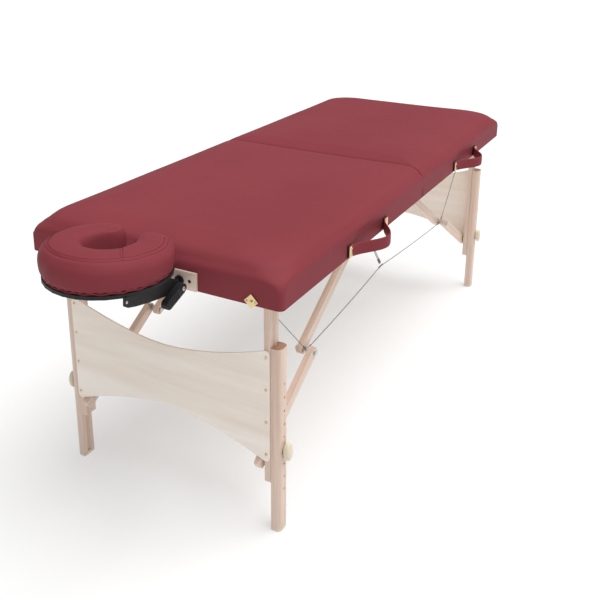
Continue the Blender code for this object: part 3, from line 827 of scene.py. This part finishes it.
def cradle_rise(point):
    """How much a point of the cushion is raised: its front is deeper than its arms."""
    share = max(0.0, point.z - SLOPE_START) / (SEAM_W - SLOPE_START)
    return share * CRADLE_SLOPE * (RING_CENTRE - point.x)


def front_seam(point):
    """How far a point is from the seam across the cradle's top, and how far along it."""
    start, finish = FRONT_SEAM
    ahead = (finish - start).normalized()
    arm = Vector((point.x, point.y)) - start
    return arm.x * ahead.y - arm.y * ahead.x, arm.dot(ahead)


def sewn(point):
    """How far the sewing draws a point of the cradle's padding in, or a gather lifts it."""
    inset, outer = edge_distance(point.x, point.y)
    move = 0.0
    if outer and inset < SEAM_REACH:
        seam = math.exp(-(((point.z - SEAM_W) / SEAM_HALF) ** 2))
        pads = math.exp(-(((abs(point.z - SEAM_W) - 0.004) / 0.003) ** 2))
        move += -SEAM_DEEP * seam + 0.0005 * pads
    apart, reach = front_seam(point)
    if reach > -0.012 and point.z > SEAM_W - 0.002:
        move += -0.0012 * math.exp(-((apart / 0.0020) ** 2))
    if point.z < GATHER_TOP:
        way = math.atan2(point.y, point.x - RING_CENTRE)
        fade = (GATHER_TOP - point.z) / 0.034
        ripple = math.sin(way * 46 + 3 * noise.noise(Vector((way * 3, 0.4, 0.0))))
        wander = noise.noise(Vector((way * 9, point.z * 30, 2.0)))
        move += fade**1.5 * (0.0011 * ripple + 0.0016 * wander)
    return move + 0.0010 * noise.noise(point * 26.0)


def stitches(surface, path, name):
    """A row of short thread stitches lying on the padding along a list of rays."""
    whole = bmesh.new()
    hits = [surface.ray_cast(Vector(start), Vector(way)) for start, way in path]
    hits = [(spot, normal) for spot, normal, _, _ in hits if spot is not None]
    for (first, normal), (second, _) in zip(hits[::2], hits[1::2]):
        if (second - first).length > 0.006:
            continue
        lift = normal * 0.0001
        middle = (first + second) / 2 + normal * 0.0004
        merge(whole, tube([first + lift, middle, second + lift], THREAD_RADIUS, 6))
    piece(name, whole, "vinyl_seam", NEAR, 1, "cradle_head")


def build_stitching(surface):
    """Two rows of thread round the top edge, and one on each side of the front seam."""
    rows = {"upper": SEAM_W + 0.0016, "lower": SEAM_W - 0.0022}
    first_way = math.radians(47)
    for name, level in rows.items():
        path = []
        for i in range(STITCH_STEPS):
            way = first_way + (2 * math.pi - 2 * first_way) * i / STITCH_STEPS
            outward = Vector((math.cos(way), math.sin(way), 0.0))
            edge = Vector((RING_CENTRE, 0, level)) + outward * (RING_MIDDLE + RING_HALF)
            start = edge + outward * 0.1
            start.z += cradle_rise(edge)
            path.append((start, -outward))
        stitches(surface, path, f"cradle_{name}_stitches")
    first, last = (point.to_3d() for point in FRONT_SEAM)
    ahead = (last - first).normalized()
    across = Vector((-ahead.y, ahead.x, 0.0))
    count = 40
    for name, apart in (("left", STITCH_APART), ("right", -STITCH_APART)):
        path = []
        for i in range(count):
            start = first.lerp(last, i / (count - 1)) + across * apart
            start.z = 0.25
            path.append((start, (0.0, 0.0, -1.0)))
        stitches(surface, path, f"cradle_top_{name}_stitches")


def build_piping():
    """The rolled hem where the cover is drawn in under the padding."""
    outline = crescent(PIPING_INSET, steps=181)
    points = []
    for i, (a, b) in enumerate(outline):
        way = math.atan2(b, a - RING_CENTRE)
        wave = math.sin(way * 23) + 0.7 * noise.noise(Vector((way * 8, 1.0, 0.0)))
        points.append(Vector((a, b, PIPING_W + 0.0011 * wave)))
    rings = []
    for i, point in enumerate(points):
        way = (points[(i + 1) % len(points)] - points[i - 1]).normalized()
        turn = way.to_track_quat("Z", "Y")
        ring = circle((0, 0), PIPING_RADIUS, 8)
        rings.append([point + turn @ Vector((a, b, 0)) for a, b in ring])
    shape = loft(rings, closed=True)
    piece("cradle_piping", shape, "vinyl", NEAR, 1, "cradle_head", 60.0)


def build_cradle_fittings():
    """Finished arm, platform and cam lever, with the lever's ribs, post collars and screws."""
    refined("cradle_arm", 0.0010, 2, "black_steel")
    refined("cradle_platform", 0.0012, 2, "black_plastic")
    refined("cradle_cam_lever", 0.0020, 3, "black_plastic")
    tip, hub = Vector(LEVER_TIP), Vector(TILT_AXIS)
    ahead = (tip - hub).normalized()
    across = Vector((-ahead.y, ahead.x))
    for i in range(RIBS):
        middle = hub + ahead * (FIRST_RIB + RIB_PITCH * i)
        ends = [middle + across * s * RIB_HALF for s in (-1, 1)]
        rib = tube([(p.x, LEVER_FACE, p.y) for p in ends], 0.0014, 8)
        fittings.add("cradle_lever", "black_plastic", rib, NEAR, -1)
    cap = screw_shape("v", LEVER_FACE + 0.0006, TILT_AXIS, 1, 0.0055)
    fittings.add("cradle_base", "steel", cap, NEAR, -1)
    for _, side in SIDES:
        fittings.add("near_half", "black_plastic", turned(COLLAR, "u", POST), NEAR, side)
        head = screw_shape("u", OUTLET_FACE, OUTLET_SCREW, -1)
        fittings.add("near_half", "black_steel", head, NEAR, side)
        head = screw_shape("v", CHEEK_FACE, CHEEK_SCREW[side], 1, HEAD_RADIUS)
        fittings.add("cradle_head", "steel", head, NEAR, side)


# ---- frame, legs and braces ----------------------------------------------------------
def build_legs(end_name, end):
    """Both telescopic legs of an end, with their height holes, and the panel between them."""
    for side_name, side in SIDES:
        name = f"{end_name}_{side_name}"
        legs = f"{end_name}_legs"
        refined(f"{name}_upper_leg", 0.0015, 2, "maple")
        holes = []
        for i in range(HOLES):
            level = FIRST_HOLE_W - HOLE_PITCH * i
            profile = [(HOLE_RADIUS, LEG_OUTER - HOLE_DEPTH), (HOLE_RADIUS, LEG_OUTER + 0.01)]
            holes.append(cutter(turned(profile, "v", (LEG_U, level), 14), end, side))
        refined(f"{name}_lower_leg", 0.0009, 2, "maple", holes, 50.0)
        for hole in holes:
            bpy.data.objects.remove(hole)
        refined(f"{name}_foot", 0.0015, 2, "foot_rubber")
        build_knob(name, end, side)
        hex_bolt(legs, LEG_INNER, LEG_HINGE, -1, end, side)
        for w in PANEL_SCREWS:
            head = screw_shape("u", PANEL_FACE_U, (PANEL_SCREW_V, w), -1, PANEL_HEAD_RADIUS)
            fittings.add(legs, "brass", head, end, side)
    refined(f"{end_name}_end_panel", 0.0009, 2, "birch_ply")


def cutter(shape, end, side):
    """A shape as an object that cuts holes, and is removed afterwards."""
    return object_of("cutter", mesh_of("cutter", to_frame(shape, end, side)))


def build_knob(name, end, side):
    """An oval hand knob with a narrower neck against the leg."""
    face = LEG_OUTER + 0.0006
    levels = (  # distance from the leg, share of the oval
        (0.0000, 0.60),
        (0.0028, 0.60),
        (0.0042, 0.90),
        (0.0062, 1.00),
        (0.0128, 1.00),
        (0.0160, 0.92),
        (0.0178, 0.76),
        (0.0185, 0.52),
    )
    rings = []
    for out, share in levels:
        ring = []
        for i in range(32):
            turn = 2 * math.pi * i / 32
            a = LEG_U + KNOB_OVAL[0] * share * math.cos(turn)
            b = KNOB_W + KNOB_OVAL[1] * share * math.sin(turn)
            ring.append((a, face + out, b))
        rings.append(ring)
    made = piece(f"{name}_knob_finished", loft(rings), "cream_plastic", end, side)
    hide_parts(f"{name}_knob")
    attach(made, f"{name}_knob_body")
    # a thin black disc under the knob's neck: painted shadow of the knob on the leg, seen as a
    # dark rim round its foot
    low, high = LEG_OUTER + 0.0001, LEG_OUTER + 0.0009
    washer_and_shadow_disc = turned([(0.0095, low), (0.0095, high), (0.004, high)], "v", (LEG_U, KNOB_W))
    fittings.add(f"{name}_knob_body", "black_plastic", washer_and_shadow_disc, end, side)


def build_braces(end_name, end):
    """Both folding braces of an end, with the bolts at their elbows and pivots."""
    material = f"{end_name}_link"
    for side_name, side in SIDES:
        name = f"{end_name}_{side_name}"
        refined(f"{name}_upper_link", 0.0018, 2, material)
        refined(f"{name}_lower_link", 0.0018, 2, material)
        refined(f"{name}_elbow_bolt", 0.0005, 1, "steel")
        hex_bolt(f"{name}_lower_brace", LOWER_LINK[1], ELBOW, 1, end, side)
        hex_bolt(f"{name}_lower_brace", LOWER_LINK[0], LEG_PIVOT, -1, end, side)
        hex_bolt(f"{name}_upper_brace", UPPER_LINK[0], BRACE_PIVOT, -1, end, side)


def cable_points(start, finish, sag):
    """A nearly straight cable between two points, hanging by sag at its middle."""
    count = 16
    points = []
    for i in range(count + 1):
        share = i / count
        point = Vector(start).lerp(Vector(finish), share)
        point.z -= sag * 4 * share * (1 - share)
        points.append(point)
    return points


def build_cable(name, start, finish, sag, end, side, body, node, strands=(0.0,)):
    """A steel cable of one or more strands side by side, with a sleeve at each end."""
    shape = bmesh.new()
    way = (finish - start).normalized()
    tubes = []
    for shift in strands:
        aside = Vector((shift, 0, 0))
        points = [point + aside for point in cable_points(start, finish, sag)]
        tubes.append((points, CABLE_RADIUS, 8))
        for root, out in ((start + aside, way), (finish + aside, -way)):
            tubes.append(([root + out * share for share in SLEEVE], SLEEVE_RADIUS, 12))
    for points, radius, sides in tubes:
        merge(shape, tube(points, radius, sides))
    made = piece(name, shape, "cable", end, side, body)
    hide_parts(node)
    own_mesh(made)


def build_cables():
    """The cables from each elbow to the rail and to the middle, and the two centre cables."""
    middle_v, middle_w = CABLE_MIDDLE
    for end_name, end in ENDS:
        for side_name, side in SIDES:
            name = f"{end_name}_{side_name}"
            root = Vector((ELBOW[0], CABLE_V, ELBOW[1]))
            rail = Vector((RAIL_ANCHOR[0], CABLE_V, RAIL_ANCHOR[1]))
            start = root + (rail - root).normalized() * CABLE_START
            body = f"{end_name}_half"
            node = f"{name}_rail_cable"
            build_cable(f"{name}_rail_wire", start, rail, RAIL_SAG, end, side, body, node)
            middle = Vector((HALF - 0.0008, middle_v, middle_w))
            start = root + (middle - root).normalized() * CABLE_START
            node = f"{name}_stay_cable"
            build_cable(f"{name}_stay_wire", start, middle, STAY_SAG, end, side, body, node)
            low, high = (
                (RAIL_ANCHOR[0] + u, CABLE_V + v, w) for (u, v), w in zip(CLEAT, CLEAT_W)
            )
            fittings.add(body, "steel", block(low, high, 0.0006), end, side)
    for side_name, side in SIDES:
        name = f"centre_{side_name}"
        low = Vector((CENTRE_CABLE_U, middle_v - 0.004, middle_w + 0.006))
        high = Vector((CENTRE_CABLE_U, *CENTRE_CABLE_TOP))
        node = f"{name}_cable"
        build_cable(f"{name}_wire", low, high, 0.0, NEAR, side, "near_half", node, STRANDS)


def strap_plate(centre, size, soft):
    """A plate standing against the rail at a strap's end."""
    half, v, w = size
    return block((centre - half, v[0], w[0]), (centre + half, v[1], w[1]), soft)


def build_handle(end_name, end):
    """A padded strap between two brass plates on the right-hand side."""
    first, last = STRAP_U
    middle, half = (first + last) / 2, (last - first) / 2
    rings = []
    steps = 40
    for i in range(steps + 1):
        across = -1 + 2 * i / steps
        rise = (math.cos(math.pi * across) + 1) / 2
        slope = -math.pi * math.sin(math.pi * across) / 2 * STRAP_BULGE / half
        normal = Vector((-slope, 1)).normalized()
        point = Vector((middle + across * half, STRAP_ROOT + rise * STRAP_BULGE))
        ring = []
        for k in range(20):
            turn = 2 * math.pi * k / 20
            c, s = math.cos(turn), math.sin(turn)
            out = STRAP_THICK * math.copysign(abs(c) ** 0.7, c)
            high = STRAP_HALF * math.copysign(abs(s) ** 0.45, s)
            centre = point + normal * out
            ring.append((centre.x, centre.y, STRAP_W + high))
        rings.append(ring)
    made = piece(f"{end_name}_strap", loft(rings), "vinyl", end, -1, f"{end_name}_half", 60.0)
    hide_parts(f"{end_name}_handle")
    body = f"{end_name}_half"
    for u, way in ((first, 1), (last, -1)):
        centre = u + way * PLATE_INSET
        fittings.add(body, "black_plastic", strap_plate(centre, BACKING, 0.0006), end, -1)
        fittings.add(body, "brass", strap_plate(centre, PLATE, 0.0007), end, -1)
        for w in PLATE_SCREWS:
            head = screw_shape("v", PLATE[1][1], (centre, w), 1, 0.0036)
            fittings.add(body, "brass", head, end, -1)


def build_frames():
    """Rails, decks and outlet plate, the catches' rivets and the centre hinge's leaves."""
    for end_name, _ in ENDS:
        refined(f"{end_name}_frame", 0.0010, 1, "maple_along")
        refined(f"{end_name}_deck", 0.0006, 1, "birch_ply")
    refined("outlet_plate", 0.0018, 3, "maple_across")
    refined("centre_hinge_barrel", 0.0006, 2, "brass")
    for side_name, side in SIDES:
        refined(f"catch_plate_{side_name}", 0.0007, 2, "brass")
        refined(f"latch_hook_{side_name}", 0.0006, 2, "brass")
        for v in (CATCH_V - RIVET_APART, CATCH_V + RIVET_APART):
            rivet = screw_shape("u", -0.0030, (v, CATCH_W), -1, 0.0030)
            fittings.add("near_half", "brass", rivet, NEAR, side)
            slot = screw_shape("u", -0.0039, (v, CATCH_W), -1, 0.0012)
            fittings.add("near_half", "black_steel", slot, NEAR, side)
        for end_name, end in ENDS:
            leaf = block((LEAF_U[0], LEAF_V[0], -0.0009), (LEAF_U[1], LEAF_V[1], -0.0001))
            fittings.add(f"{end_name}_half", "brass", leaf, end, side)


# ---- floor, light and camera ---------------------------------------------------------
def build_stage():
    """A plain white floor and backdrop."""
    mesh = bpy.data.meshes.new("floor")
    size = 40.0
    corners = [(-size, -size, 0), (size, -size, 0), (size, size, 0), (-size, size, 0)]
    mesh.from_pydata(corners, [], [(0, 1, 2, 3)])
    floor = object_of("floor", mesh)
    material = bpy.data.materials.new("pale_floor")
    material.use_nodes = True
    shader = material.node_tree.nodes["Principled BSDF"]
    shader.inputs["Base Color"].default_value = FLOOR_COLOUR
    # a studio floor that is lit through from below, so that shadows stay pale
    shader.inputs["Emission Color"].default_value = (1.0, 1.0, 1.0, 1.0)
    shader.inputs["Emission Strength"].default_value = FLOOR_GLOW
    shader.inputs["Roughness"].default_value = 0.9
    mesh.materials.append(material)
    world = bpy.data.worlds.new("studio")
    bpy_scene.world = world
    world.use_nodes = True
    background = world.node_tree.nodes["Background"]
    background.inputs["Color"].default_value = (1.0, 1.0, 1.0, 1.0)
    # a white backdrop that lights the object less than it looks
    seen = world.node_tree.nodes.new("ShaderNodeLightPath")
    level = world.node_tree.nodes.new("ShaderNodeMapRange")
    level.inputs["To Min"].default_value = AMBIENT
    level.inputs["To Max"].default_value = 1.0
    world.node_tree.links.new(seen.outputs["Is Camera Ray"], level.inputs["Value"])
    world.node_tree.links.new(level.outputs["Result"], background.inputs["Strength"])


def soft_sun(name, towards, power, spread):
    """A broad, distant light shining from the given direction."""
    lamp = bpy.data.lights.new(name, "SUN")
    lamp.energy = power
    lamp.angle = math.radians(spread)
    made = object_of(name, lamp)
    made.rotation_euler = Vector(towards).to_track_quat("Z", "Y").to_euler()


def build_camera():
    """The camera, from the head end's left, a little above the table."""
    yaw, pitch, roll = (math.radians(angle) for angle in CAMERA_TURN)
    ahead = Vector(
        (math.cos(yaw) * math.cos(pitch), math.sin(yaw) * math.cos(pitch), -math.sin(pitch))
    )
    right = ahead.cross(Vector((0, 0, 1))).normalized()
    up = right.cross(ahead)
    c, s = math.cos(roll), math.sin(roll)
    right, up = right * c + up * s, up * c - right * s
    camera = bpy.data.cameras.new("camera")
    camera.lens = CAMERA_LENS
    camera.shift_y = CAMERA_SHIFT
    made = object_of("camera", camera)
    turn = Matrix((right, up, -ahead)).transposed().to_4x4()
    made.matrix_world = Matrix.Translation(CENTRE + Vector(CAMERA_PLACE)) @ turn
    bpy_scene.camera = made


for end_name, end in ENDS:
    build_legs(end_name, end)
    build_braces(end_name, end)
    build_handle(end_name, end)
build_frames()
build_cables()
build_cradle_fittings()
build_covers()
build_cradle_cushion()
fittings.finish()
build_stage()
soft_sun("key", (0.12, -0.30, 0.94), 3.3, 55)
soft_sun("fill", (-0.85, -0.35, 0.40), 0.18, 60)
build_camera()
